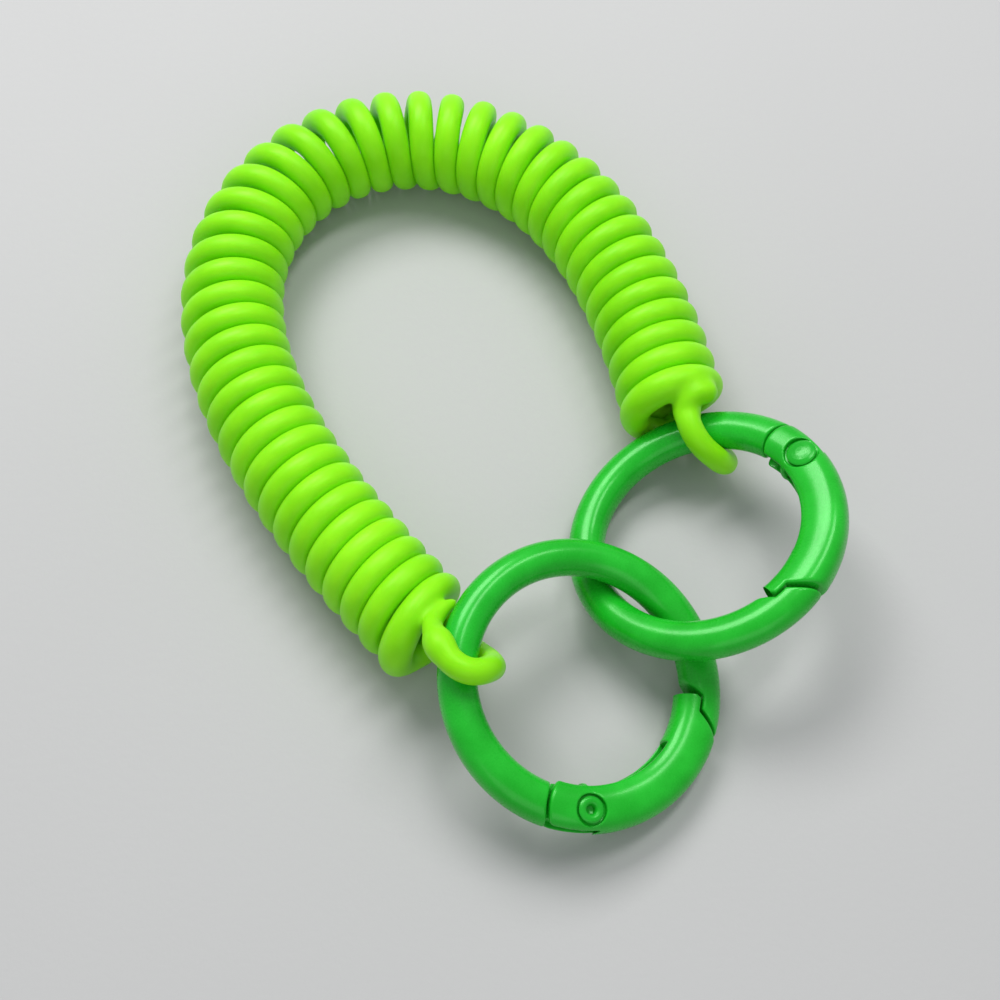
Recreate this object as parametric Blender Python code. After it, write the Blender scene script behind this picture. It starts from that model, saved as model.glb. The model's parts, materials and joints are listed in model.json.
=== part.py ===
"""Spiral wrist band with two linked spring gate rings, lying on a table.

A soft plastic cord is wound into a close coil and the coil is bent into a
horseshoe. Each end of the cord is formed into a hook that closes round a
metal ring, and the two rings are linked through each other. Every ring is a
C shaped frame with a sprung gate that turns on a rivet.

Units are metres, +Z is up and the table is the plane z = 0.
"""
import bpy
import bmesh
import math
from mathutils import Matrix, Vector

MM = 0.001
GAP = 0.30 * MM                 # clearance between neighbouring pieces

# The coil: a close helix of plastic cord, drawn as one solid of its outer size
COIL_OD = 13.5 * MM             # outside of the turns
CORD_D = 3.3 * MM               # the cord itself
COIL_START = (22.37 * MM, 3.41 * MM)   # centre of the end that holds ring b
COIL_START_HEADING = 101.2      # degrees from +X, the way the coil sets off
COIL_LENGTH = 152.5 * MM        # along the bent centre line
BEND_BASE = 3.8                 # curvature everywhere, 1/m
BEND_PEAK = 41.6                # extra curvature at the tightest place, 1/m
BEND_AT = 68.4 * MM             # where the bend is tightest
BEND_WIDTH = 43.0 * MM          # how far the bend is spread along the coil
COIL_STATIONS = 40
COIL_SIDES = 24
COIL_END_ROUND = 0.8 * MM       # chamfer at each end of the coil

# A ring, drawn round its own centre with the rivet on its +X axis
RING_R = 14.84 * MM             # centre line radius
FRAME_HALF_THIN = 2.20 * MM     # half width of the frame opposite the rivet
FRAME_HALF_END = 2.50 * MM      # half width of the frame at both its ends
GATE_HALF = 2.54 * MM           # half width of the gate, outside its centre line
GATE_INNER_EXTRA = 0.60 * MM    # how much wider the gate is on the inside of the ring
AXIAL_HALF_FRAME = 2.20 * MM    # half height of the frame
AXIAL_HALF_GATE = 2.35 * MM     # half height of the gate
SQUARE_FRAME = 2.08             # 2 is an ellipse, more is squarer
SQUARE_GATE = 2.35
KNUCKLE_R = 4.90 * MM           # rounded gate end about the rivet
CHEEK_SLOT = 1.15 * MM          # half height of the slot between the cheeks
TONGUE_HALF = 0.85 * MM         # half thickness of the frame's hinge tongue
TONGUE_R = 2.10 * MM            # tongue's round end
HEEL_AT = (-1.60 * MM, 0.90 * MM)   # heel on the tongue, from the rivet
HEEL_R = 0.90 * MM
CHANNEL_WALL_R = 15.70 * MM     # outer wall of the spring channel
CHANNEL_END = 55.5              # degrees from the rivet
LAP_R = 14.30 * MM              # the lap between gate tongue and frame nose
SHOULDER_REACH = 17.90 * MM     # gate's outer shoulder, measured from the rivet
NOSE_REACH = 18.40 * MM         # end of the frame's nose, from the rivet
GATE_REACH = 19.20 * MM         # gate's tip, from the rivet
TIP_GAP = 0.45 * MM

RIVET_SHANK_R = 0.90 * MM
RIVET_HOLE_R = RIVET_SHANK_R + GAP
SEAT_Z = 1.65 * MM              # floor of both rivet seats
PLAIN_HEAD_R = 1.80 * MM        # domed head, on the ring's -Z side
FLARED_HEAD_R = 1.50 * MM       # cupped head, on the ring's +Z side

PUSHER_R = 0.85 * MM
PUSHER_LENGTH = 1.80 * MM
PUSHER_AT = 12.0                # degrees round the ring
SPRING_LINE_R = 13.80 * MM
SPRING_FROM, SPRING_TO = 18.4, 54.2     # degrees round the ring
SPRING_COIL_R = 0.66 * MM
SPRING_WIRE_R = 0.17 * MM
SPRING_TURNS = 7
SMOOTH_BELOW = 35.0             # degrees between faces that still look round
CUT = 4 * MM                    # half height of a cutter that goes right through

# Where the two rings lie: centre, tilt of the ring's face from level, the
# compass direction it is tilted to, and the angle of the rivet in its plane
RING_A = dict(centre=(9.93, -34.99, 7.49), tilt=18.9, toward=-27.2,
              rivet=270.9, turned_over=False)
RING_B = dict(centre=(25.09, -16.22, 8.42), tilt=22.5, toward=160.6,
              rivet=27.9, turned_over=True)

# The cord's end hooks: path round the ring's wire, from the coil over the
# wire, down inside the ring and back underneath
HOOK_R = 4.30 * MM              # centre line of the cord from the wire's
HOOK_CORD_R = 1.50 * MM         # the cord is drawn a little thin in the hook
HOOK_A = dict(ring_angle=160.0, drift=24.0, turn_from=58.0, turn_to=272.0)
HOOK_B = dict(ring_angle=93.0, drift=-15.0, turn_from=62.0, turn_to=282.0)

for old in list(bpy.data.objects):
    bpy.data.objects.remove(old, do_unlink=True)
SCENE = bpy.context.scene.collection


def material(name, colour, roughness, metallic=0.0):
    m = bpy.data.materials.new(name)
    m.use_nodes = True
    shader = m.node_tree.nodes["Principled BSDF"]
    shader.inputs["Base Color"].default_value = (*colour, 1.0)
    shader.inputs["Roughness"].default_value = roughness
    shader.inputs["Metallic"].default_value = metallic
    return m


def finish_mesh(name, bm, mat=None, smooth_below=SMOOTH_BELOW):
    """Turn a bmesh into a named object, smooth except at real edges."""
    bmesh.ops.remove_doubles(bm, verts=bm.verts[:], dist=1e-7)
    bmesh.ops.recalc_face_normals(bm, faces=bm.faces[:])
    limit = math.radians(smooth_below)
    for face in bm.faces:
        face.smooth = True
    for edge in bm.edges:
        edge.smooth = len(edge.link_faces) == 2 and edge.calc_face_angle(0.0) < limit
    mesh = bpy.data.meshes.new(name)
    bm.to_mesh(mesh)
    bm.free()
    obj = bpy.data.objects.new(name, mesh)
    SCENE.objects.link(obj)
    if mat:
        mesh.materials.append(mat)
    return obj


def sweep(name, centres, tangents, radii, sides, mat=None, up=Vector((0, 0, 1))):
    """A round tube through the centres, its profile carried square to the path."""
    bm = bmesh.new()
    loops = []
    side = None
    for centre, tangent, radius in zip(centres, tangents, radii):
        t = tangent.normalized()
        if side is None:
            side = up.cross(t)
            if side.length < 0.2:
                side = Vector((1, 0, 0)).cross(t)
        side = (side - side.dot(t) * t).normalized()
        rise = t.cross(side)
        loops.append([bm.verts.new(centre + radius * (math.cos(a) * side + math.sin(a) * rise))
                      for a in (2 * math.pi * k / sides for k in range(sides))])
    for first, second in zip(loops, loops[1:]):
        for k in range(sides):
            j = (k + 1) % sides
            bm.faces.new((first[k], first[j], second[j], second[k]))
    bm.faces.new(loops[0][::-1])
    bm.faces.new(loops[-1])
    return finish_mesh(name, bm, mat, 50.0)


def arc_bar(name, start, end, steps, half_width, half_height, square, inner=0.0, sides=20):
    """A bar bent round Z from start to end degrees; half_width is a function of the angle and
    inner is how much wider the bar is on the inside of the bend."""
    bm = bmesh.new()
    ring = []
    for k in range(sides):
        a = 2 * math.pi * k / sides
        c, s = math.cos(a), math.sin(a)
        e = 2.0 / square
        ring.append(bm.verts.new((RING_R + MM * math.copysign(abs(c) ** e, c), 0.0,
                                  math.copysign(abs(s) ** e, s))))
    for k in range(sides):
        bm.edges.new((ring[k], ring[(k + 1) % sides]))
    bmesh.ops.spin(bm, geom=bm.verts[:] + bm.edges[:], cent=(0, 0, 0), axis=(0, 0, 1),
                   angle=math.radians(end - start), steps=steps, use_duplicate=False)
    bmesh.ops.holes_fill(bm, edges=[e for e in bm.edges if e.is_boundary], sides=0)
    turn = math.radians(start)
    for v in bm.verts:
        angle = math.atan2(v.co.y, v.co.x) % (2 * math.pi)
        out = (math.hypot(v.co.x, v.co.y) - RING_R) / MM
        degrees = math.degrees(angle)
        if degrees > (end - start) + 1.0:
            angle, degrees = angle - 2 * math.pi, degrees - 360.0
        r = RING_R + out * (half_width(start + degrees) + (inner if out < 0 else 0.0))
        v.co = (r * math.cos(angle + turn), r * math.sin(angle + turn), v.co.z * half_height)
    return finish_mesh(name, bm)


def prism(name, outline, low, high):
    """A plate with the given outline in the ring's plane, from z low to z high."""
    bm = bmesh.new()
    face = bm.faces.new([bm.verts.new((x, y, low)) for x, y in outline])
    made = bmesh.ops.extrude_face_region(bm, geom=[face])
    bmesh.ops.translate(bm, vec=(0, 0, high - low),
                        verts=[v for v in made["geom"] if isinstance(v, bmesh.types.BMVert)])
    return finish_mesh(name, bm)


def lathe(name, profile, mat=None, steps=20):
    """A solid turned round Z from (radius, height) points, both ends on the axis."""
    bm = bmesh.new()
    line = [bm.verts.new((r, 0.0, z)) for r, z in profile]
    for low, high in zip(line, line[1:]):
        bm.edges.new((low, high))
    bmesh.ops.spin(bm, geom=bm.verts[:] + bm.edges[:], cent=(0, 0, 0), axis=(0, 0, 1),
                   angle=2 * math.pi, steps=steps, use_merge=True, use_duplicate=False)
    return finish_mesh(name, bm, mat)


def boolean(target, cutter, operation="DIFFERENCE"):
    cutter.hide_render = True
    cutter.display_type = "WIRE"
    mod = target.modifiers.new(cutter.name, "BOOLEAN")
    mod.operation = operation
    mod.solver = "EXACT"
    mod.object = cutter


def bake(obj, mat, *cutters):
    """Apply the boolean modifiers so the solid is plain and the cutters can go."""
    depsgraph = bpy.context.evaluated_depsgraph_get()
    mesh = bpy.data.meshes.new_from_object(obj.evaluated_get(depsgraph))
    mesh.name = obj.name
    obj.modifiers.clear()
    obj.data = mesh
    for cutter in cutters:
        bpy.data.objects.remove(cutter, do_unlink=True)
    bm = bmesh.new()
    bm.from_mesh(mesh)
    bmesh.ops.dissolve_degenerate(bm, edges=bm.edges[:], dist=1e-7)
    limit = math.radians(SMOOTH_BELOW)
    for face in bm.faces:
        face.smooth = True
        face.material_index = 0
    for edge in bm.edges:
        edge.smooth = len(edge.link_faces) == 2 and edge.calc_face_angle(0.0) < limit
    bm.to_mesh(mesh)
    bm.free()
    mesh.materials.clear()
    mesh.materials.append(mat)
    return obj


def polar(r, degrees):
    a = math.radians(degrees)
    return (r * math.cos(a), r * math.sin(a))


def arc_about(cx, cy, r, start, end, steps):
    return [(cx + r * math.cos(math.radians(a)), cy + r * math.sin(math.radians(a)))
            for a in (start + (end - start) * k / steps for k in range(steps + 1))]


def ring_angle_at(r, reach):
    """Angle round the ring of the point at radius r that is reach from the rivet."""
    return math.degrees(math.acos((r * r + RING_R ** 2 - reach ** 2) / (2 * r * RING_R)))


def reach_line(reach, from_r, to_r, steps=6):
    """Points at one distance from the rivet, so a face there clears the swing."""
    radii = [from_r + (to_r - from_r) * k / steps for k in range(steps + 1)]
    return [polar(r, ring_angle_at(r, reach)) for r in radii]


def lap_line(lap_r, shoulder_reach, tip_reach):
    """Shoulder, lap and tip in one line, from outside the ring to inside it."""
    start, end = ring_angle_at(lap_r, shoulder_reach), ring_angle_at(lap_r, tip_reach)
    line = reach_line(shoulder_reach, 17.8 * MM, lap_r)
    line += [polar(lap_r, start + (end - start) * k / 3) for k in (1, 2)]
    return line + reach_line(tip_reach, lap_r, 11.0 * MM)


# ---------------------------------------------------------------- coil line

def coil_line():
    """Centre line of the bent coil: positions and headings at even stations."""
    fine = 1200
    x, y = COIL_START
    heading = math.radians(COIL_START_HEADING)
    ds = COIL_LENGTH / fine
    places = [(x, y, heading)]
    for k in range(fine):
        s = (k + 0.5) * ds
        bend = BEND_BASE + BEND_PEAK * math.exp(-((s - BEND_AT) / BEND_WIDTH) ** 2)
        middle = heading + bend * ds / 2
        x += math.cos(middle) * ds
        y += math.sin(middle) * ds
        heading += bend * ds
        places.append((x, y, heading))
    return [places[round(fine * k / COIL_STATIONS)] for k in range(COIL_STATIONS + 1)]


# ---------------------------------------------------------------- ring frame

def ring_axes(ring):
    """Level direction, uphill direction and face normal of a lying ring."""
    tilt, toward = math.radians(ring["tilt"]), math.radians(ring["toward"])
    normal = Vector((math.sin(tilt) * math.cos(toward), math.sin(tilt) * math.sin(toward),
                     math.cos(tilt)))
    first = (Vector((1, 0, 0)) - normal.x * normal).normalized()
    return first, normal.cross(first), normal


def ring_place(ring):
    """Matrix that lays the drawn ring where it rests on the table."""
    first, second, normal = ring_axes(ring)
    a = math.radians(ring["rivet"])
    x = math.cos(a) * first + math.sin(a) * second
    z = -normal if ring["turned_over"] else normal
    y = z.cross(x)
    centre = Vector(ring["centre"]) * MM
    return Matrix(((x.x, y.x, z.x, centre.x), (x.y, y.y, z.y, centre.y),
                   (x.z, y.z, z.z, centre.z), (0, 0, 0, 1)))


def frame_half(degrees):
    """Half width of the frame: thin opposite the rivet, thicker towards its ends."""
    away = abs(((degrees - 212.0) + 180.0) % 360.0 - 180.0) / 135.0
    return FRAME_HALF_THIN + (FRAME_HALF_END - FRAME_HALF_THIN) * min(1.0, away) ** 1.6


def make_frame(tag, mat):
    bar = arc_bar("frame_" + tag, 64.0, 357.0, 50, frame_half, AXIAL_HALF_FRAME,
                  SQUARE_FRAME)
    nose = [polar(24 * MM, 58.0), polar(24 * MM, 66.0)]
    nose += lap_line(LAP_R + GAP / 2, NOSE_REACH, GATE_REACH + TIP_GAP)
    nose += [polar(8 * MM, 104.0), polar(8 * MM, 58.0)]
    nose_cut = prism("nose_cut", nose, -CUT, CUT)
    shoulder = prism("shoulder_cut", arc_about(RING_R, 0, KNUCKLE_R + GAP, 0, 360, 40)[:-1],
                     -CUT, CUT)
    tongue_outline = [polar(16.5 * MM, a) for a in (-25, -21, -17, -13, -9, -5)]
    tongue_outline += arc_about(RING_R, 0, TONGUE_R, -25, 112, 14)
    tongue_outline += arc_about(RING_R + HEEL_AT[0], HEEL_AT[1], HEEL_R, 75, 215, 10)
    tongue_outline += [polar(13.1 * MM, a) for a in (-6, -9, -13, -17, -21, -25)]
    tongue = prism("tongue", tongue_outline, -TONGUE_HALF, TONGUE_HALF)
    hole = prism("tongue_hole", arc_about(RING_R, 0, RIVET_HOLE_R, 0, 360, 20)[:-1],
                 -CUT, CUT)
    boolean(bar, nose_cut)
    boolean(bar, shoulder)
    boolean(bar, tongue, "UNION")
    boolean(bar, hole)
    return bake(bar, mat, nose_cut, shoulder, tongue, hole)


def make_gate(tag, mat):
    bar = arc_bar("gate_" + tag, -24.0, 95.0, 26, lambda a: GATE_HALF, AXIAL_HALF_GATE,
                  SQUARE_GATE, GATE_INNER_EXTRA)
    tip = [polar(24 * MM, 100.0), polar(24 * MM, 64.0)]
    tip += lap_line(LAP_R - GAP / 2, SHOULDER_REACH, GATE_REACH)
    tip += [polar(8 * MM, 104.0)]
    tip_cut = prism("tip_cut", tip, -CUT, CUT)
    knuckle = arc_about(RING_R, 0, KNUCKLE_R, 14, -194, 30)
    knuckle += [(RING_R - 9 * MM, 1.2 * MM), (RING_R - 9 * MM, -12 * MM),
                (RING_R + 9 * MM, -12 * MM), (RING_R + 9 * MM, 1.2 * MM)]
    knuckle_cut = prism("knuckle_cut", knuckle, -CUT, CUT)
    slot = [(RING_R + 8 * MM, -8 * MM), (RING_R + 8 * MM, -0.6 * MM)]
    slot += arc_about(RING_R, 0, TONGUE_R + 1.4 * GAP, -14, 68, 12)
    slot += [polar(CHANNEL_WALL_R, 12.5 + (CHANNEL_END - 12.5) * k / 12) for k in range(13)]
    slot += [polar(9.5 * MM, CHANNEL_END), polar(9.5 * MM, 20.0), (RING_R - 8 * MM, 0.0),
             (RING_R - 8 * MM, -8 * MM)]
    slot_cut = prism("slot_cut", slot, -CHEEK_SLOT, CHEEK_SLOT)
    hole = prism("rivet_hole", arc_about(RING_R, 0, RIVET_HOLE_R, 0, 360, 20)[:-1],
                 -CUT, CUT)
    seat_top = prism("seat_top", arc_about(RING_R, 0, FLARED_HEAD_R + GAP, 0, 360, 24)[:-1],
                     SEAT_Z, CUT)
    seat_low = prism("seat_low", arc_about(RING_R, 0, PLAIN_HEAD_R + GAP, 0, 360, 24)[:-1],
                     -CUT, -SEAT_Z)
    cutters = (tip_cut, knuckle_cut, slot_cut, hole, seat_top, seat_low)
    for cutter in cutters:
        boolean(bar, cutter)
    return bake(bar, mat, *cutters)


def make_rivet(tag, mat):
    mm = MM
    under = SEAT_Z + GAP
    profile = [(0, -2.45 * mm), (0.65 * mm, -2.42 * mm), (1.25 * mm, -2.30 * mm),
               (1.62 * mm, -2.15 * mm), (PLAIN_HEAD_R, -2.02 * mm), (PLAIN_HEAD_R, -under),
               (RIVET_SHANK_R, -under), (RIVET_SHANK_R, under), (1.40 * mm, under),
               (FLARED_HEAD_R, under + 0.10 * mm), (FLARED_HEAD_R, 2.12 * mm),
               (1.30 * mm, 2.28 * mm), (0.95 * mm, 2.32 * mm), (0.68 * mm, 2.22 * mm),
               (0.52 * mm, 1.95 * mm), (0.48 * mm, 1.45 * mm), (0, 1.35 * mm)]
    rivet = lathe("rivet_" + tag, profile, mat)
    rivet.data.transform(Matrix.Translation((RING_R, 0, 0)))
    return rivet


def make_pusher(tag, mat):
    r, half = PUSHER_R, PUSHER_LENGTH / 2
    profile = [(0, -half), (0.45 * r, -half + 0.08 * MM), (0.8 * r, -half + 0.28 * MM),
               (r, -half + 0.55 * MM), (r, half - 0.12 * MM), (r - 0.12 * MM, half), (0, half)]
    pusher = lathe("pusher_" + tag, profile, mat, 14)
    x, y = polar(SPRING_LINE_R, PUSHER_AT)
    along = Vector((-y, x, 0)).normalized()
    out = Vector((x, y, 0)).normalized()
    rise = along.cross(out)
    middle = Vector((x, y, 0)) + along * 0.30 * MM
    pusher.data.transform(Matrix(((out.x, rise.x, along.x, middle.x),
                                  (out.y, rise.y, along.y, middle.y),
                                  (out.z, rise.z, along.z, middle.z), (0, 0, 0, 1))))
    bm = bmesh.new()
    bm.from_mesh(pusher.data)
    bmesh.ops.recalc_face_normals(bm, faces=bm.faces[:])
    bm.to_mesh(pusher.data)
    bm.free()
    return pusher


def make_spring(tag, mat):
    per_turn = 9
    count = SPRING_TURNS * per_turn
    centres = []
    for k in range(count + 1):
        f = k / count
        turn = 2 * math.pi * SPRING_TURNS * f
        a = math.radians(SPRING_FROM + (SPRING_TO - SPRING_FROM) * f)
        out = SPRING_LINE_R + SPRING_COIL_R * math.cos(turn)
        centres.append(Vector((out * math.cos(a), out * math.sin(a),
                               SPRING_COIL_R * math.sin(turn))))
    tangents = [(centres[min(k + 1, count)] - centres[max(k - 1, 0)]) for k in range(count + 1)]
    return sweep("spring_" + tag, centres, tangents, [SPRING_WIRE_R] * (count + 1), 5, mat,
                 Vector((1, 0, 0)))


# ---------------------------------------------------------------- the band

def hook_line(ring, hook, end_place, end_heading, sign):
    """Cord's path from inside the coil's end, round the ring's wire and back."""
    first, second, normal = ring_axes(ring)
    centre = Vector(ring["centre"]) * MM
    inward = Vector((math.cos(end_heading), math.sin(end_heading), 0.0)) * sign
    points = []
    top = Vector((end_place[0], end_place[1], COIL_OD - CORD_D / 2))
    points.append(top + inward * 3.2 * MM)
    points.append(top + inward * 1.0 * MM)
    steps = 16
    for k in range(steps + 1):
        f = k / steps
        turn = math.radians(hook["turn_from"] + (hook["turn_to"] - hook["turn_from"]) * f)
        a = math.radians(hook["ring_angle"] + hook["drift"] * math.sin(math.pi * f))
        out = math.cos(a) * first + math.sin(a) * second
        points.append(centre + RING_R * out
                      + HOOK_R * (math.cos(turn) * out + math.sin(turn) * normal))
    low = points[-1].z
    back = max(low, CORD_D / 2 + 0.4 * MM)
    points.append(Vector((end_place[0], end_place[1], back)) + inward * 1.0 * MM)
    points.append(Vector((end_place[0], end_place[1], back)) + inward * 3.2 * MM)
    return points


def smooth_line(points, per_span=4):
    """Even rounding of a coarse line, passing through its points."""
    ends = [2 * points[0] - points[1]] + points + [2 * points[-1] - points[-2]]
    line = []
    for k in range(1, len(ends) - 2):
        p0, p1, p2, p3 = ends[k - 1:k + 3]
        span = per_span if (p2 - p1).length > 1.6 * MM else 1
        for j in range(span):
            t = j / span
            line.append(0.5 * ((2 * p1) + (p2 - p0) * t
                               + (2 * p0 - 5 * p1 + 4 * p2 - p3) * t * t
                               + (3 * p1 - p0 - 3 * p2 + p3) * t ** 3))
    line.append(points[-1])
    return line


def make_band(mat):
    line = coil_line()
    radius = COIL_OD / 2
    centres = [Vector((x, y, radius)) for x, y, h in line]
    tangents = [Vector((math.cos(h), math.sin(h), 0)) for x, y, h in line]
    first, last = centres[0], centres[-1]
    lead = COIL_END_ROUND
    centres = [first - tangents[0] * lead] + centres + [last + tangents[-1] * lead]
    tangents = [tangents[0]] + tangents + [tangents[-1]]
    radii = [radius - lead] + [radius] * (len(centres) - 2) + [radius - lead]
    band = sweep("coil_band", centres, tangents, radii, COIL_SIDES)
    hooks = []
    for tag, ring, hook, place, sign in (("b", RING_B, HOOK_B, line[0], 1),
                                         ("a", RING_A, HOOK_A, line[-1], -1)):
        path = smooth_line(hook_line(ring, hook, place[:2], place[2], sign))
        ways = [path[min(k + 1, len(path) - 1)] - path[max(k - 1, 0)]
                for k in range(len(path))]
        tube = sweep("hook_" + tag, path, ways, [HOOK_CORD_R] * len(path), 12)
        boolean(band, tube, "UNION")
        hooks.append(tube)
    return bake(band, mat, *hooks)


band_plastic = material("band_plastic", (0.22, 0.72, 0.02), 0.42)
make_band(band_plastic)

for tag, ring in (("a", RING_A), ("b", RING_B)):
    frame_paint = material("frame_paint_" + tag, (0.02, 0.33, 0.05), 0.22)
    gate_paint = material("gate_paint_" + tag, (0.02, 0.33, 0.05), 0.22)
    rivet_paint = material("rivet_paint_" + tag, (0.02, 0.30, 0.05), 0.26)
    spring_steel = material("spring_steel_" + tag, (0.62, 0.62, 0.60), 0.30, 1.0)
    pusher_steel = material("pusher_steel_" + tag, (0.55, 0.55, 0.53), 0.35, 1.0)
    frame = make_frame(tag, frame_paint)
    frame.matrix_world = ring_place(ring)
    moving = [make_gate(tag, gate_paint), make_rivet(tag, rivet_paint),
              make_pusher(tag, pusher_steel), make_spring(tag, spring_steel)]
    for piece in moving:
        piece.data.transform(Matrix.Translation((-RING_R, 0, 0)))
        piece.matrix_world = ring_place(ring) @ Matrix.Translation((RING_R, 0, 0))
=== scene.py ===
"""Looks of a spiral wrist coil with two linked spring gate rings.

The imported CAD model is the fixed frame. Here the coil becomes its real cord, wound and welded at both
ends, the rings become enamelled castings with rounded edges, and every surface gets its finish.
"""
import json
import math

import bpy
import numpy as np
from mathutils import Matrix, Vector


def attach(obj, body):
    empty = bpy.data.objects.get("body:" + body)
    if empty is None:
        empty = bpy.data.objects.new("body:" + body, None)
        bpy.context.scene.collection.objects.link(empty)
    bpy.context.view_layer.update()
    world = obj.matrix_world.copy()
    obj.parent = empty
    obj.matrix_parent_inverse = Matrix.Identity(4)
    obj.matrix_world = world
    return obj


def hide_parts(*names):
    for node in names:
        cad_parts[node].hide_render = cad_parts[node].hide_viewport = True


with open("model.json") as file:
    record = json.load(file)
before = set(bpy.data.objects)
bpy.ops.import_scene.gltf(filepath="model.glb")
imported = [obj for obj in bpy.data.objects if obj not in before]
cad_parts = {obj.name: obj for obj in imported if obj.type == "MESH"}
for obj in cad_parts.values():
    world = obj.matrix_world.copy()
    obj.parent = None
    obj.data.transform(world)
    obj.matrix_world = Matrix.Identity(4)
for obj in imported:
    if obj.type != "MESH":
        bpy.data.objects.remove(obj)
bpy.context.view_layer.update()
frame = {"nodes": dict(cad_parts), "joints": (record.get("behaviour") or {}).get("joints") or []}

MM = 0.001
JOINTS = {joint["name"]: joint for joint in frame["joints"]}

# The coil, as the CAD source lays it
COIL_START = (22.37, 3.41)          # mm, centre of the end that holds ring b
COIL_START_HEADING = 101.2          # degrees from +X
COIL_LENGTH = 152.5                 # mm along the bent centre line
BEND_BASE, BEND_PEAK = 0.0038, 0.0416   # curvature, 1/mm
BEND_AT, BEND_WIDTH = 68.4, 43.0    # mm
COIL_OD, CORD_D = 13.5, 3.3         # mm
CORD_R = CORD_D / 2
HELIX_R = COIL_OD / 2 - CORD_R      # from the coil's centre line to the cord's
TURNS = 43
TUBE_SQUARE, TUBE_SIDES = 2.2, 20   # the pressed turns' section: its fullness and its sides
OVERLAP = 0.97                      # turns at each end that belong to the welded ends
SPACING = 0.25                      # mm between points along a line through listed points

# Its two ends: a holds ring a and b holds ring b
END_INSET = {"a": -1.3, "b": -1.9}  # mm from each end of the coil to its last turn's cord
LEAN = {"a": 0.80, "b": 0.50}       # mm that the last turn at each end leans away from the coil
SWELL = {"a": 0.40, "b": 0.42}      # mm by which welding thickened the last turn's cord
SWELL_SPAN = {"a": 0.56, "b": 0.80}  # turns over which it does both
WELD = {"a": 1.1, "b": 0.95}        # mm over which the tail's weld is filled
JOIN_TURNS = 2 / 15                 # turns of coil that lead into the hook's line
HOOK_R, HOOK_CLOSE = 4.37, 0.40     # mm from the ring wire's centre to the cord's, less inside the ring
HOOK_CORD_R = 1.53                  # the cord is stretched a little thinner in its hooks
END_STEP = 0.22                     # mm between samples of an end's field
END_MARGIN = 2.6                    # mm of field kept round an end
FAR = 1.7                           # mm, the field's ceiling

# The rings, in mm
RING_R = 14.84
RIVET_TO_PUSHER = 12.0              # degrees round the ring
FRAME_HALF_THIN, FRAME_HALF_END, FRAME_HEIGHT, FRAME_SQUARE = 2.20, 2.50, 2.20, 2.08
GATE_HALF, GATE_HEIGHT, GATE_SQUARE = 2.54, 2.35, 2.35
GATE_INNER_EXTRA = 0.60             # how much wider the gate is on the inside of the ring
KNUCKLE_R, KNUCKLE_GAP = 4.90, 0.30
CHEEK_SLOT, TONGUE_HALF, TONGUE_R = 1.15, 0.85, 2.10
HEEL_AT, HEEL_R = (-1.60, 0.90), 0.90
CHANNEL_WALL_R, CHANNEL_END = 15.70, 55.5
LAP_R, LAP_GAP = 14.30, 0.30
SHOULDER_REACH, NOSE_REACH, GATE_REACH, TIP_GAP = 17.90, 18.40, 19.20, 0.45
RIVET_HOLE_R, SEAT_Z, PLAIN_SEAT_R, FLARED_SEAT_R = 1.20, 1.65, 2.10, 1.80
EDGE_ROUND = 0.34                   # how far enamel rounds an outer edge
THIN_AT, THIN_SPAN = 212, 135       # degrees: where the frame's wire is thinnest, and over how much
TONGUE_AT = 345                     # degrees round the ring to the hinge tongue's strip
FRAME_SPAN, GATE_SPAN = (55, 366), (-24, 85)    # degrees round the ring that hold each piece
RING_STEP = 0.145                   # mm between samples of the ring's field
RING_LOW_R, RING_HIGH_R = 10.9, 18.3            # mm, the field's inner and outer radius
RING_LOW_Z, RING_HIGH_Z = -2.9, 2.95            # mm, the field's floor and ceiling


# ------------------------------------------------------------------ meshes

def add_piece(name, points, faces, body, replaces, material):
    """A mesh object from arrays in mm, smooth, riding on a body and standing for CAD nodes."""
    mesh = bpy.data.meshes.new(name)
    points = np.asarray(points, float) * MM
    faces = np.asarray(faces, np.int32)
    mesh.vertices.add(len(points))
    mesh.vertices.foreach_set("co", points.astype(np.float32).ravel())
    sides = faces.shape[1]
    mesh.loops.add(faces.size)
    mesh.loops.foreach_set("vertex_index", faces.ravel())
    mesh.polygons.add(len(faces))
    mesh.polygons.foreach_set("loop_start", np.arange(0, faces.size, sides, dtype=np.int32))
    mesh.polygons.foreach_set("use_smooth", np.ones(len(faces), bool))
    mesh.update(calc_edges=True)
    mesh.validate()
    piece = bpy.data.objects.new(name, mesh)
    bpy.context.scene.collection.objects.link(piece)
    mesh.materials.append(material)
    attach(piece, body)
    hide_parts(*replaces)
    return piece


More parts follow.
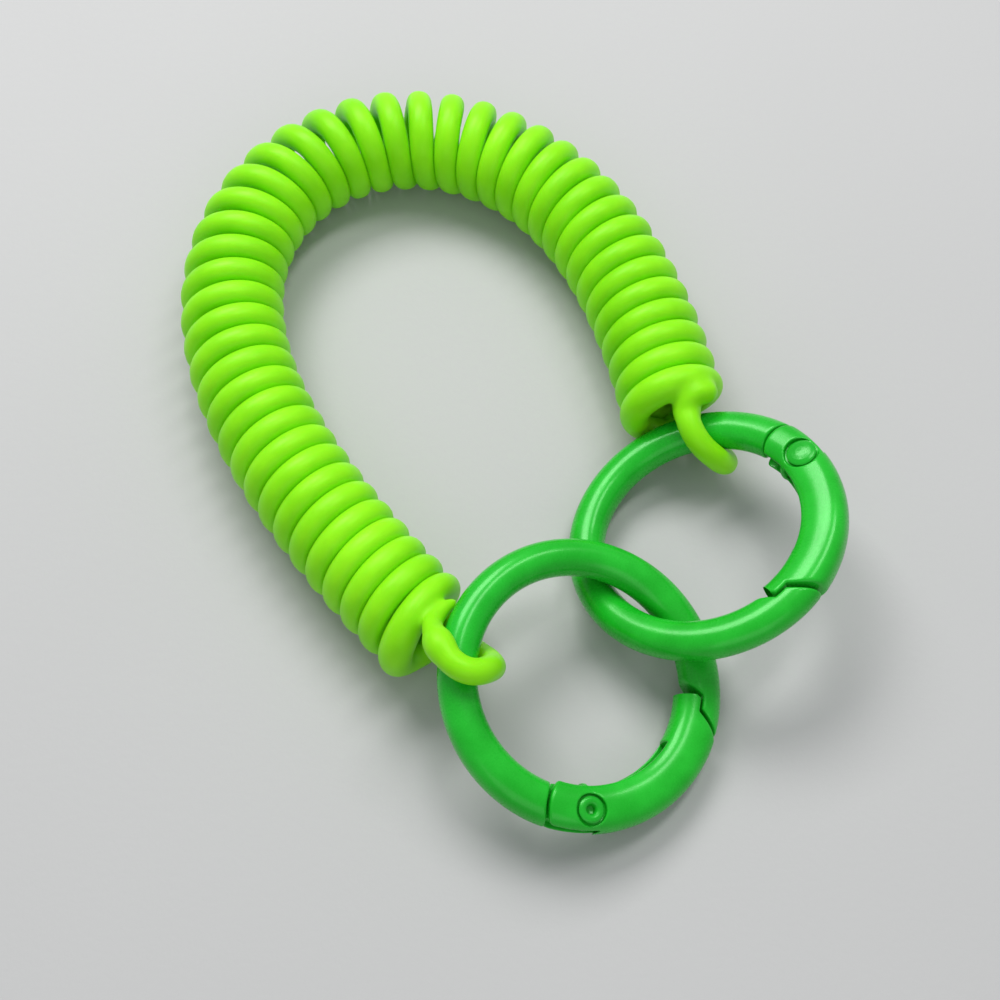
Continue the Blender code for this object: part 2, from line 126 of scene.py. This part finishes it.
def tube_grid(centres, side, rise, half, square, sides):
    """Closed tube: centre + (half width cos(v) side + half height sin(v) rise), v once round at each
    station, with cos and sin raised to 2 / square so that the oval fills its corners a little.

    Returns points and quads; both ends are closed by a fan of quads to their own centre."""
    v = np.linspace(0, 2 * math.pi, sides, endpoint=False)
    c, s = np.cos(v), np.sin(v)
    c = half[0] * np.sign(c) * np.abs(c) ** (2 / square)
    s = half[1] * np.sign(s) * np.abs(s) ** (2 / square)
    ring = c[None, :, None] * side[:, None] + s[None, :, None] * rise[:, None]
    points = (centres[:, None] + ring).reshape(-1, 3)
    count = len(centres)
    i, j = np.meshgrid(np.arange(count - 1), np.arange(sides), indexing="ij")
    k = (j + 1) % sides
    quads = np.stack([i * sides + j, i * sides + k, (i + 1) * sides + k, (i + 1) * sides + j], -1)
    points = np.vstack([points, centres[:1], centres[-1:]])
    pair = np.arange(0, sides, 2)
    first, last = count * sides, (count - 1) * sides
    cap_a = np.stack([np.full(len(pair), first), (pair + 2) % sides, pair + 1, pair], -1)
    cap_b = np.stack([np.full(len(pair), first + 1), last + pair, last + pair + 1,
                      last + (pair + 2) % sides], -1)
    return points, np.vstack([quads.reshape(-1, 4), cap_a, cap_b])


def skin(values, axes):
    """Surface where a sampled field is zero, inside negative: one point in each cell that the surface
    passes through, at the mean of its edge crossings, and one quad across each crossed grid edge."""
    inside = values < 0
    shape = np.array(values.shape) - 1
    total = np.zeros((*shape, 3), np.float32)
    hits = np.zeros(shape, np.float32)
    crossings = []
    for axis in range(3):
        low = [slice(None)] * 3
        high = [slice(None)] * 3
        low[axis], high[axis] = slice(0, -1), slice(1, None)
        a, b = values[tuple(low)], values[tuple(high)]
        crossed = inside[tuple(low)] != inside[tuple(high)]
        share = np.where(crossed, a / np.where(crossed, a - b, 1.0), 0.0).astype(np.float32)
        crossings.append((crossed, inside[tuple(low)]))
        u, w = [d for d in range(3) if d != axis]
        for du in (0, 1):
            for dw in (0, 1):
                cut = [slice(None)] * 3
                cut[u] = slice(du, du + shape[u])
                cut[w] = slice(dw, dw + shape[w])
                here = crossed[tuple(cut)]
                hits += here
                total[..., axis] += share[tuple(cut)]
                total[..., u] += here * du
                total[..., w] += here * dw
    used = hits > 0
    number = np.full(shape, -1, np.int64)
    number[used] = np.arange(used.sum())
    place = total[used] / hits[used][:, None] + np.argwhere(used)
    points = np.stack([np.interp(place[:, d], np.arange(len(axes[d])), axes[d]) for d in range(3)], 1)
    quads = []
    for axis, (crossed, starts_inside) in enumerate(crossings):
        u, w = (axis + 1) % 3, (axis + 2) % 3
        at = np.argwhere(crossed)
        keep = (at[:, u] > 0) & (at[:, w] > 0) & (at[:, u] < shape[u]) & (at[:, w] < shape[w])
        at = at[keep]
        corners = []
        for du, dw in ((-1, -1), (0, -1), (0, 0), (-1, 0)):
            cell = at.copy()
            cell[:, u] += du
            cell[:, w] += dw
            corners.append(number[cell[:, 0], cell[:, 1], cell[:, 2]])
        quad = np.stack(corners, 1)
        outward = starts_inside[at[:, 0], at[:, 1], at[:, 2]]
        quads.append(np.where(outward[:, None], quad, quad[:, ::-1]))
    return points, np.vstack(quads)


def soft_min(a, b, k):
    """Smaller of two fields, with a fillet about k wide where they meet."""
    h = np.maximum(k - np.abs(a - b), 0.0) / k
    return np.minimum(a, b) - h * h * k / 4


def soft_max(a, b, k):
    """Larger of two fields, with an outer edge rounded over about k."""
    return -soft_min(-a, -b, k)


# ------------------------------------------------------------------ ring field

def reach_of(x, y):
    """Distance from the rivet's axis in the ring's plane."""
    return np.hypot(x - RING_R, y)


def bar_field(r, z, half, height, square):
    """A bar with a squared oval section, bent round the ring's centre."""
    e = (np.abs((r - RING_R) / half) ** square + np.abs(z / height) ** square) ** (1 / square)
    return (e - 1) * np.minimum(half, height)


def frame_field(x, y, z):
    """The C shaped frame: bar, cut back by the gate's lap and knuckle, with a bored hinge tongue."""
    r, reach = np.hypot(x, y), reach_of(x, y)
    degrees = np.degrees(np.arctan2(y, x)) % 360
    away = np.minimum(np.abs((degrees - THIN_AT + 180) % 360 - 180) / THIN_SPAN, 1)
    half = FRAME_HALF_THIN + (FRAME_HALF_END - FRAME_HALF_THIN) * away ** 1.6
    bar = bar_field(r, z, half, FRAME_HEIGHT, FRAME_SQUARE)
    lap = LAP_R + LAP_GAP / 2
    nose = np.minimum(np.maximum(NOSE_REACH - reach, lap - r), GATE_REACH + TIP_GAP - reach)
    nose = np.where(y > 0, nose, -9.0)
    solid = soft_max(bar, nose, EDGE_ROUND)
    solid = soft_max(solid, KNUCKLE_R + KNUCKLE_GAP - reach, EDGE_ROUND)
    turn = np.abs(((degrees - TONGUE_AT + 180) % 360) - 180) * math.radians(1) * RING_R
    strip = np.maximum(np.abs(r - 14.8) - 1.7, turn - 2.6)
    heel = np.hypot(x - RING_R - HEEL_AT[0], y - HEEL_AT[1]) - HEEL_R
    plate = soft_min(soft_min(strip, reach - TONGUE_R, 0.3), heel, 0.3)
    tongue = soft_max(plate, np.abs(z) - TONGUE_HALF, 0.15)
    solid = soft_min(solid, tongue, 0.25)
    return np.maximum(solid, RIVET_HOLE_R - reach)


def gate_field(x, y, z):
    """The gate: bar with a round knuckle, a lapped tip, a slot between its cheeks and rivet seats."""
    r, reach = np.hypot(x, y), reach_of(x, y)
    degrees = (np.degrees(np.arctan2(y, x)) + 180) % 360 - 180
    half = GATE_HALF + np.where(r < RING_R, GATE_INNER_EXTRA, 0)
    bar = bar_field(r, z, half, GATE_HEIGHT, GATE_SQUARE)
    tip = np.minimum(reach - SHOULDER_REACH,
                     np.maximum(reach - GATE_REACH, r - LAP_R + LAP_GAP / 2))
    knuckle = np.minimum(reach - KNUCKLE_R, 1.2 - y)
    solid = soft_max(soft_max(bar, tip, EDGE_ROUND), knuckle, EDGE_ROUND)
    channel = np.maximum(r - CHANNEL_WALL_R, (degrees - CHANNEL_END) * math.radians(1) * RING_R)
    channel = np.maximum(channel, -y)
    hollow = np.minimum(np.minimum(reach - TONGUE_R - 0.42, y + 0.6), channel)
    slot = np.maximum(hollow, np.abs(z) - CHEEK_SLOT)
    solid = soft_max(solid, -slot, 0.2)
    solid = np.maximum(solid, RIVET_HOLE_R - reach)
    flared = np.maximum(reach - FLARED_SEAT_R, SEAT_Z - z)
    plain = np.maximum(reach - PLAIN_SEAT_R, z + SEAT_Z)
    return soft_max(solid, -np.minimum(flared, plain), 0.12)


def ring_skin(field, start, end):
    """Skin of a ring piece, sampled on angle, radius and height, then moved onto the exact surface."""
    step = math.degrees(RING_STEP / RING_R)
    axes = (np.arange(start, end, step), np.arange(RING_LOW_R, RING_HIGH_R, RING_STEP),
            np.arange(RING_LOW_Z, RING_HIGH_Z, RING_STEP))
    a, r, z = np.meshgrid(*axes, indexing="ij")
    x, y = r * np.cos(np.radians(a)), r * np.sin(np.radians(a))
    polar, quads = skin(field(x, y, z), axes)
    angle = np.radians(polar[:, 0])
    points = np.stack([polar[:, 1] * np.cos(angle), polar[:, 1] * np.sin(angle), polar[:, 2]], 1)
    tiny = 0.02
    for _ in range(2):
        here = field(*points.T)
        slope = np.stack([(field(*(points + tiny * row).T) - field(*(points - tiny * row).T))
                          / (2 * tiny) for row in np.eye(3)], 1)
        size = np.maximum((slope ** 2).sum(1), 0.25)
        move = (-here / size)[:, None] * slope
        points += np.clip(move, -0.06, 0.06)
    return points, quads[:, ::-1]


def ring_place(tag):
    """Centre and the three axes of a ring, from its gate's hinge and its plunger's line."""
    hinge = JOINTS[f"gate_{tag}_open"]
    normal = Vector(hinge["axis"]).normalized()
    along = Vector(JOINTS[f"pusher_{tag}_slide"]["axis"]).normalized()
    inward = normal.cross(along)
    turn = math.radians(RIVET_TO_PUSHER)
    x = (-math.sin(turn) * along - math.cos(turn) * inward).normalized()
    y = normal.cross(x)
    centre = Vector(hinge["pos_m"]) / MM - RING_R * x
    return np.array(centre), np.array([x, y, normal])


def placed(points, place):
    """Points from a ring's own axes to the frame's: centre + x, y and z along its three axes."""
    centre, rows = place
    return centre + points @ rows


def lathe_grid(profile, steps):
    """Solid of revolution about the rivet's axis: radius and height from the profile, turned once."""
    profile = np.asarray(profile, float)
    v = np.linspace(0, 2 * math.pi, steps, endpoint=False)
    points = np.stack([profile[:, :1] * np.cos(v), profile[:, :1] * np.sin(v),
                       np.repeat(profile[:, 1:], steps, 1)], -1).reshape(-1, 3)
    i, j = np.meshgrid(np.arange(len(profile) - 1), np.arange(steps), indexing="ij")
    k = (j + 1) % steps
    quads = np.stack([i * steps + j, i * steps + k, (i + 1) * steps + k, (i + 1) * steps + j], -1)
    return points, quads.reshape(-1, 4)


def rounded(profile, cut=0.09, steps=4):
    """Profile with each inner corner replaced by a short curve that starts and ends cut mm from it."""
    profile = np.asarray(profile, float)
    line = [profile[:1]]
    for before, corner, after in zip(profile, profile[1:], profile[2:]):
        a, b = before - corner, after - corner
        reach = min(cut, 0.45 * np.hypot(*a), 0.45 * np.hypot(*b))
        a, b = corner + a / np.hypot(*a) * reach, corner + b / np.hypot(*b) * reach
        t = np.linspace(0, 1, steps)[:, None]
        line.append((1 - t) ** 2 * a + 2 * t * (1 - t) * corner + t ** 2 * b)
    line.append(profile[-1:])
    return np.vstack(line)


def rivet_profile():
    """Plain domed head below, shank, cupped head above with a rim and a hollow centre."""
    return rounded([(0.001, -2.46), (0.65, -2.43), (1.25, -2.31), (1.62, -2.16), (1.80, -2.02),
                    (1.80, -1.95), (0.90, -1.95), (0.90, 1.95), (1.40, 1.95), (1.50, 2.05),
                    (1.50, 2.12), (1.30, 2.28), (0.95, 2.32), (0.68, 2.22), (0.52, 1.95),
                    (0.48, 1.45), (0.001, 1.35)])


# ------------------------------------------------------------------ the cord's line

def coil_line(fine=6000):
    """Centre line of the bent coil: place and heading at even steps, by adding up its curvature."""
    ds = COIL_LENGTH / fine
    s = (np.arange(fine) + 0.5) * ds
    bend = BEND_BASE + BEND_PEAK * np.exp(-((s - BEND_AT) / BEND_WIDTH) ** 2)
    heading = math.radians(COIL_START_HEADING) + np.concatenate([[0], np.cumsum(bend * ds)])
    middle = (heading[1:] + heading[:-1]) / 2
    x = COIL_START[0] + np.concatenate([[0], np.cumsum(np.cos(middle) * ds)])
    y = COIL_START[1] + np.concatenate([[0], np.cumsum(np.sin(middle) * ds)])
    packing = np.concatenate([[0], np.cumsum((1 - HELIX_R * bend) * ds)])
    return np.linspace(0, COIL_LENGTH, fine + 1), x, y, heading, packing


COIL = coil_line()


def end_frame(tag):
    """Middle of a coil end on the table, the way out of the coil, and the level direction across."""
    _, x, y, heading, _ = COIL
    k, sign = (0, -1) if tag == "b" else (-1, 1)
    out = sign * np.array([math.cos(heading[k]), math.sin(heading[k]), 0.0])
    return np.array([x[k], y[k], 0.0]), out, np.array([-out[1], out[0], 0.0])


def swell(turn, tag):
    """Share of an end's lean and thickening at a count of turns from it: none, all, and none again."""
    span = SWELL_SPAN[tag]
    return np.sin(np.pi * np.clip(turn - 0.05, 0, span) / span) ** 2


def helix(first_turn, last_turn, step=6.0):
    """Cord's centre between two counts of turns: the coil's line plus a circle square to it.

    Turn 0 is below the coil at end b. Turns are packed evenly along the inside of the bend, so they
    open like a fan on its outside. Also gives the outward direction at each point."""
    s, x, y, heading, packing = COIL
    tight = 1 - HELIX_R * BEND_BASE
    inset = (tight * END_INSET["b"], packing[-1] - tight * END_INSET["a"])
    turns = np.arange(first_turn, last_turn + 1e-9, step / 360.0)
    packed = inset[0] + (inset[1] - inset[0]) * turns / TURNS
    at = np.interp(packed, packing, s)
    past = (packed - np.clip(packed, 0, packing[-1])) / tight
    h = np.interp(at, s, heading)
    angle = 2 * math.pi * (turns - 0.25)
    left = np.stack([-np.sin(h), np.cos(h), 0 * h], 1)
    out = np.cos(angle)[:, None] * left
    out[:, 2] += np.sin(angle)
    middle = np.stack([np.interp(at, s, x), np.interp(at, s, y), 0 * at + COIL_OD / 2], 1)
    along = np.stack([np.cos(h), np.sin(h), 0 * h], 1)
    lean = LEAN["a"] * swell(TURNS - turns, "a") - LEAN["b"] * swell(turns, "b")
    return middle + HELIX_R * out + (lean + past)[:, None] * along, out


# The hook's way round the ring's wire: degrees round the wire, degrees round the ring from its own
# level direction. 90 is on top of the wire, 180 inside the ring and 270 below the wire.
HOOK_A = ((272, 158), (250, 161), (225, 165), (200, 169), (180, 173), (160, 176), (135, 179),
          (110, 182), (90, 182), (75, 180), (58, 176), (42, 171))
HOOK_B = ((272, 84), (250, 79), (225, 75), (200, 76), (180, 78), (160, 82), (135, 86),
          (110, 88.5), (90, 89), (74, 89))
# Listed points in mm from the middle of the coil's end: out of the coil, across, above the table.
# First from the coil's underside to the hook, then from the hook to the welded tail
LEAD_A = ((0.35, 1.9, 2.0), (1.2, 3.3, 3.4), (2.6, 3.2, 5.6), (3.7, 2.3, 7.4))
LEAD_B = ((0.35, 1.7, 1.9), (1.6, 3.2, 1.9), (3.4, 4.1, 2.0))
TAIL_A = ((4.15, -1.4, 14.2), (3.2, -0.8, 13.1), (2.5, 0.6, 12.5), (2.25, 2.0, 12.1),
          (2.25, 3.2, 11.6))
TAIL_B = ((3.35, 0.55, 11.3), (2.8, 1.3, 11.7), (2.55, 2.4, 11.7), (2.5, 3.1, 11.5),
          (2.5, 3.7, 11.2))


def wire_axes(tag):
    """Ring's level direction, the uphill direction and its upward normal."""
    centre, rows = ring_place(tag)
    normal = rows[2] * np.sign(rows[2][2])
    level = np.array([1.0, 0, 0]) - normal[0] * normal
    level /= np.linalg.norm(level)
    return centre, level, np.cross(normal, level), normal


def through(points):
    """Smooth line through given points: a cubic on each span whose slopes come from the next
    points, each span's share of the parameter being the root of its length."""
    points = np.asarray(points, float)
    knots = np.concatenate([[0], np.cumsum(np.linalg.norm(np.diff(points, axis=0), axis=1) ** 0.5)])
    t = np.linspace(0, knots[-1], 2400)
    slope = np.gradient(points, knots, axis=0)
    k = np.clip(np.searchsorted(knots, t, side="right") - 1, 0, len(points) - 2)
    span = knots[k + 1] - knots[k]
    u = ((t - knots[k]) / span)[:, None]
    span = span[:, None]
    line = ((2 * u ** 3 - 3 * u ** 2 + 1) * points[k] + (u ** 3 - 2 * u ** 2 + u) * span * slope[k]
            + (3 * u ** 2 - 2 * u ** 3) * points[k + 1] + (u ** 3 - u ** 2) * span * slope[k + 1])
    line = even(line, SPACING)
    for _ in range(12):
        line[1:-1] = (line[:-2] + 2 * line[1:-1] + line[2:]) / 4
    return line


def even(line, spacing):
    """The same line with points evenly spaced along it."""
    length = np.concatenate([[0], np.cumsum(np.linalg.norm(np.diff(line, axis=0), axis=1))])
    at = np.linspace(0, length[-1], max(2, round(length[-1] / spacing)) + 1)
    return np.stack([np.interp(at, length, line[:, d]) for d in range(3)], 1)


def end_line(tag):
    """Cord beyond the coil's end: under the wire, up inside the ring, over the wire, and its tail."""
    lead, hook, tail = (LEAD_A, HOOK_A, TAIL_A) if tag == "a" else (LEAD_B, HOOK_B, TAIL_B)
    middle, out, across = end_frame(tag)
    local = lambda rows: [middle + f * out + q * across + (0, 0, z) for f, q, z in rows]
    centre, level, uphill, normal = wire_axes(tag)
    way = []
    for turn, angle in hook:
        turn, angle = math.radians(turn), math.radians(angle)
        away = math.cos(angle) * level + math.sin(angle) * uphill
        reach = HOOK_R - HOOK_CLOSE * max(0.0, -math.cos(turn)) ** 2
        way.append(centre + RING_R * away + reach * (math.cos(turn) * away + math.sin(turn) * normal))
    turns = (TURNS - JOIN_TURNS, TURNS) if tag == "a" else (0, JOIN_TURNS)
    coil, _ = helix(*turns, step=12)
    if tag == "b":
        coil = coil[::-1]
    line = through([*coil, *local(lead), *way, *local(tail)])
    start = np.argmin(np.linalg.norm(line - coil[-1], axis=1))
    weld = np.argmin(np.linalg.norm(line - way[-1], axis=1))
    return line[start:], weld - start


def stamp(values, axes, line, radii):
    """Lower the field to the distance from each small ball along a line."""
    for point, radius in zip(line, radii):
        span = [slice(*np.searchsorted(axis, (p - radius - FAR, p + radius + FAR)))
                for axis, p in zip(axes, point)]
        x, y, z = (axis[part] - p for axis, part, p in zip(axes, span, point))
        far = np.sqrt(x[:, None, None] ** 2 + y[None, :, None] ** 2 + z[None, None, :] ** 2) - radius
        block = values[tuple(span)]
        np.minimum(block, far, out=block)


def end_skin(tag):
    """Last turn, hook and tail as one skin: the tail is welded to the turn with a filled seam."""
    line, weld = end_line(tag)
    turn, _ = helix(TURNS - 1.0, TURNS, 3) if tag == "a" else helix(0, 1.0, 3)
    turn = even(turn, SPACING)
    body = np.vstack([turn, line[:weld + 1]])
    count = np.linspace(1, 0, len(turn)) if tag == "a" else np.linspace(0, 1, len(turn))
    hooked = np.minimum(1, np.arange(len(body) - len(turn)) * 0.05)
    body_r = np.concatenate([CORD_R + SWELL[tag] * swell(count, tag),
                             CORD_R + (HOOK_CORD_R - CORD_R) * hooked])
    tail = line[max(0, weld - 2):]
    left = np.linspace(1, 0, len(tail))
    if tag == "a":
        tail_r = HOOK_CORD_R * (0.30 + 0.70 * left ** 0.6)
    else:
        tail_r = HOOK_CORD_R * np.maximum(1 - (1 - np.minimum(1, left / 0.10)) ** 2, 0.05) ** 0.35
    low = np.minimum(body.min(0), tail.min(0)) - END_MARGIN
    high = np.maximum(body.max(0), tail.max(0)) + END_MARGIN
    axes = [np.arange(a, b, END_STEP) for a, b in zip(low, high)]
    size = [len(axis) for axis in axes]
    main, end = np.full(size, FAR), np.full(size, FAR)
    stamp(main, axes, body, body_r)
    stamp(end, axes, tail, tail_r)
    return skin(soft_min(main, end, WELD[tag]), axes)


# ------------------------------------------------------------------ finishes

class Value:
    """A node socket that can be used in sums; each operator adds one Math node."""

    def __init__(self, tree, socket):
        self.tree, self.socket = tree, socket

    def math(self, operation, other=None, swap=False):
        pair = (self, other) if not swap else (other, self)
        inputs = {k: v for k, v in enumerate(pair) if v is not None}
        return self.tree.node("ShaderNodeMath", {"operation": operation}, inputs)

    def __add__(self, other): return self.math("ADD", other)
    def __radd__(self, other): return self.math("ADD", other, True)
    def __mul__(self, other): return self.math("MULTIPLY", other)
    def __rmul__(self, other): return self.math("MULTIPLY", other, True)


class Finish:
    """A material whose nodes come from one method."""

    def __init__(self, name, **constants):
        self.material = bpy.data.materials.new(name)
        self.material.use_nodes = True
        self.nodes = self.material.node_tree.nodes
        self.links = self.material.node_tree.links
        self.shader = self.nodes["Principled BSDF"]
        for key, value in constants.items():
            self.shader.inputs[key.replace("_", " ")].default_value = value

    def node(self, kind, settings=None, inputs=None, output=0):
        made = self.nodes.new(kind)
        for key, value in (settings or {}).items():
            if key == "stops":
                self.stops(made.color_ramp, value)
            else:
                setattr(made, key, value)
        for key, value in (inputs or {}).items():
            if isinstance(value, Value):
                self.links.new(value.socket, made.inputs[key])
            else:
                made.inputs[key].default_value = value
        return Value(self, made.outputs[output])

    def stops(self, ramp, stops):
        while len(ramp.elements) < len(stops):
            ramp.elements.new(0.5)
        for element, (place, colour) in zip(ramp.elements, stops):
            element.position, element.color = place, colour

    def ramp(self, value, *stops):
        """Grey level from a value, through (place, level) stops."""
        rows = [(place, (level, level, level, 1)) for place, level in stops]
        return self.node("ShaderNodeValToRGB", {"stops": rows}, {0: value})

    def noise(self, scale, detail=3.0, rough=0.5, stretch=(1, 1, 1)):
        """Noise on the piece's own place, scale in cells per metre."""
        place = self.node("ShaderNodeTexCoord", output=3)
        if stretch != (1, 1, 1):
            place = self.node("ShaderNodeMapping", {}, {0: place, 3: stretch})
        return self.node("ShaderNodeTexNoise", {}, {"Vector": place, "Scale": scale,
                                                    "Detail": detail, "Roughness": rough})

    def cells(self, scale):
        place = self.node("ShaderNodeTexCoord", output=3)
        return self.node("ShaderNodeTexVoronoi", {}, {"Vector": place, "Scale": scale})

    def mix(self, share, a, b):
        return self.node("ShaderNodeMix", {"data_type": "RGBA"}, {0: share, 6: a, 7: b}, 2)

    def bump(self, height, distance, strength=1.0, below=None):
        inputs = {"Height": height, "Distance": distance, "Strength": strength}
        if below is not None:
            inputs["Normal"] = below
        return self.node("ShaderNodeBump", {}, inputs)

    def out(self, **sockets):
        for key, value in sockets.items():
            self.links.new(value.socket, self.shader.inputs[key.replace("_", " ")])
        return self.material


def lime_plastic():
    """Soft clear-tinted plastic: cloudy colour, a fine moulded skin, faint handling marks."""
    f = Finish("lime_plastic", Subsurface_Weight=0.40, Subsurface_Radius=(0.55, 1.0, 0.10),
               Subsurface_Scale=0.0016, IOR=1.49, Specular_IOR_Level=0.40,
               Specular_Tint=(0.72, 1.0, 0.36, 1))
    cloud = f.ramp(f.noise(95, 4, 0.55), (0.34, 0), (0.68, 1))
    body = f.mix(cloud, (0.215, 0.700, 0.004, 1), (0.300, 0.840, 0.010, 1))
    specks = f.ramp(f.cells(1500), (0.0, 1), (0.12, 0))
    dust = specks * f.ramp(f.noise(240, 2), (0.56, 0), (0.66, 1))
    colour = f.mix(dust * 0.30, body, (0.52, 0.95, 0.18, 1))
    fine = f.noise(5200, 3, 0.6)
    waves = f.noise(330, 2, 0.4)
    rubbed = f.ramp(f.noise(150, 5, 0.62), (0.40, 0), (0.62, 1))
    rough = 0.335 + rubbed * 0.10 + fine * 0.05
    normal = f.bump(waves, 0.00010, 0.35, f.bump(fine, 0.000010, 0.45))
    return f.out(Base_Color=colour, Roughness=rough, Normal=normal)


def green_enamel(name, dark, light, orange_peel=0.05):
    """Baked enamel over a zinc casting: shallow orange peel, pooled colour, tiny dust nibs."""
    f = Finish(name, IOR=1.52, Specular_IOR_Level=0.55, Specular_Tint=(0.40, 1.0, 0.45, 1),
               Coat_Weight=0.16, Coat_Roughness=0.12)
    pool = f.ramp(f.noise(210, 4, 0.55), (0.36, 0), (0.66, 1))
    colour = f.mix(pool, dark, light)
    nibs = f.ramp(f.cells(900), (0.0, 1), (0.07, 0))
    nibs = nibs * f.ramp(f.noise(300, 1), (0.57, 0), (0.62, 1))
    colour = f.mix(nibs * 0.35, colour, (0.05, 0.50, 0.08, 1))
    scuffs = f.ramp(f.noise(420, 6, 0.7, (1, 1, 5)), (0.58, 0), (0.70, 1))
    rough = 0.25 + scuffs * 0.14 + f.noise(2600, 2) * 0.05
    peel = f.noise(620, 2, 0.4)
    normal = f.bump(peel, 0.00009, orange_peel, f.bump(nibs, 0.00002, 0.2))
    return f.out(Base_Color=colour, Roughness=rough, Normal=normal)


def spring_steel(name, tone):
    """Bare drawn steel: fine lengthwise lines and a little tarnish."""
    f = Finish(name, Metallic=1.0)
    tarnish = f.ramp(f.noise(900, 4, 0.6), (0.35, 0), (0.70, 1))
    colour = f.mix(tarnish, (tone, tone, tone * 0.98, 1), (tone * 0.72, tone * 0.68, tone * 0.62, 1))
    lines = f.noise(3200, 2, 0.5, (1, 1, 6))
    return f.out(Base_Color=colour, Roughness=0.22 + lines * 0.18,
                 Normal=f.bump(lines, 0.00002, 0.4))


def table_top():
    """Pale matt board under the object."""
    f = Finish("table_board", Specular_IOR_Level=0.25)
    grain = f.noise(900, 3)
    colour = f.mix(f.noise(7, 3), (0.47, 0.47, 0.465, 1), (0.52, 0.52, 0.515, 1))
    return f.out(Base_Color=colour, Roughness=0.62 + grain * 0.12, Normal=f.bump(grain, 0.0001, 0.25))


# ------------------------------------------------------------------ the object

LIME = lime_plastic()
DARK, LIGHT = (0.007, 0.400, 0.014, 1), (0.014, 0.490, 0.024, 1)
FRAME_FINISH = green_enamel("frame_enamel", DARK, LIGHT)
GATE_FINISH = green_enamel("gate_enamel", DARK, LIGHT)
# The rivet has the frame's enamel, made a shade darker all over: painted shade for the recess it sits
# in.
RIVET_FINISH_PAINTED_SHADE = green_enamel("rivet_enamel_painted_shade", (0.006, 0.360, 0.014, 1), (0.012, 0.440, 0.022, 1), 0.1)


def build_band():
    """The whole cord: 41 turns as a tube, and a welded end with its hook at each side."""
    line, out = helix(OVERLAP, TURNS - OVERLAP)
    ahead = np.gradient(line, axis=0)
    ahead /= np.linalg.norm(ahead, axis=1)[:, None]
    out -= (out * ahead).sum(1)[:, None] * ahead
    out /= np.linalg.norm(out, axis=1)[:, None]
    side = np.cross(out, ahead)
    half = (CORD_R + 0.03, CORD_R - 0.01)
    parts = [tube_grid(line, side, out, half, TUBE_SQUARE, TUBE_SIDES), end_skin("a"), end_skin("b")]
    points, faces, count = [], [], 0
    for p, q in parts:
        points.append(p)
        faces.append(q + count)
        count += len(p)
    band = add_piece("band_cord", np.vstack(points), np.vstack(faces), "band", ("coil_band",),
                     LIME)
    end_a, end_b = end_line("a")[0], end_line("b")[0]
    route = np.vstack([end_b[::-1], helix(0, TURNS)[0][1:-1], end_a]) * MM
    return band


def build_ring(tag):
    """A ring's frame, its gate and its rivet, which turns with the gate."""
    place = ring_place(tag)
    points, quads = ring_skin(frame_field, *FRAME_SPAN)
    add_piece(f"ring_frame_{tag}", placed(points, place), quads, f"ring_{tag}",
              (f"frame_{tag}",), FRAME_FINISH)
    points, quads = ring_skin(gate_field, *GATE_SPAN)
    add_piece(f"ring_gate_{tag}", placed(points, place), quads, f"gate_{tag}",
              (f"gate_{tag}",), GATE_FINISH)
    points, quads = lathe_grid(rivet_profile(), 48)
    add_piece(f"ring_rivet_{tag}", placed(points + (RING_R, 0, 0), place), quads,
              f"gate_{tag}", (f"rivet_{tag}",), RIVET_FINISH_PAINTED_SHADE)


build_band()
for tag in "ab":
    build_ring(tag)
for node, tone in (("spring_a", 0.62), ("spring_b", 0.62), ("pusher_a", 0.55), ("pusher_b", 0.55)):
    steel = spring_steel(node + "_steel", tone)
    mesh = frame["nodes"][node].data
    mesh.materials.clear()
    mesh.materials.append(steel)


# ------------------------------------------------------------------ floor, light, camera

def add_floor():
    half = 1.2
    mesh = bpy.data.meshes.new("table")
    mesh.from_pydata([(-half, -half, 0), (half, -half, 0), (half, half, 0), (-half, half, 0)], [],
                     [(0, 1, 2, 3)])
    mesh.materials.append(table_top())
    floor = bpy.data.objects.new("table", mesh)
    bpy.context.scene.collection.objects.link(floor)


def add_light(name, place, size, power):
    """A soft box at place, facing the middle of the table."""
    lamp = bpy.data.lights.new(name, "AREA")
    lamp.shape, lamp.size, lamp.size_y = "RECTANGLE", size[0], size[1]
    lamp.energy = power
    box = bpy.data.objects.new(name, lamp)
    box.location = place
    box.rotation_euler = (-Vector(place)).to_track_quat("-Z", "Y").to_euler()
    bpy.context.scene.collection.objects.link(box)


def add_camera():
    """High three-quarter view from the side of the rings."""
    elevation, distance = math.radians(63), 0.1927
    target = Vector((0.00057, -0.00766, 0))
    back = Vector((0, -math.cos(elevation), math.sin(elevation)))
    lens = bpy.data.cameras.new("camera")
    lens.sensor_width, lens.lens = 36, 54.1
    lens.clip_start, lens.clip_end = 0.01, 10
    camera = bpy.data.objects.new("camera", lens)
    camera.location = target + distance * back
    camera.rotation_euler = (-back).to_track_quat("-Z", "Y").to_euler()
    bpy.context.scene.collection.objects.link(camera)
    bpy.context.scene.camera = camera


add_floor()
add_light("window", (-0.14, 0.30, 0.42), (0.34, 0.22), 2.1)
add_light("lamp", (0.16, 0.16, 0.50), (0.10, 0.30), 0.85)
add_light("fill", (0.05, -0.50, 0.35), (0.50, 0.30), 0.42)
world = bpy.data.worlds.new("room")
world.use_nodes = True
world.node_tree.nodes["Background"].inputs["Color"].default_value = (0.80, 0.82, 0.85, 1)
world.node_tree.nodes["Background"].inputs["Strength"].default_value = 0.52
bpy.context.scene.world = world
bpy.context.scene.view_settings.view_transform = "Standard"
add_camera()
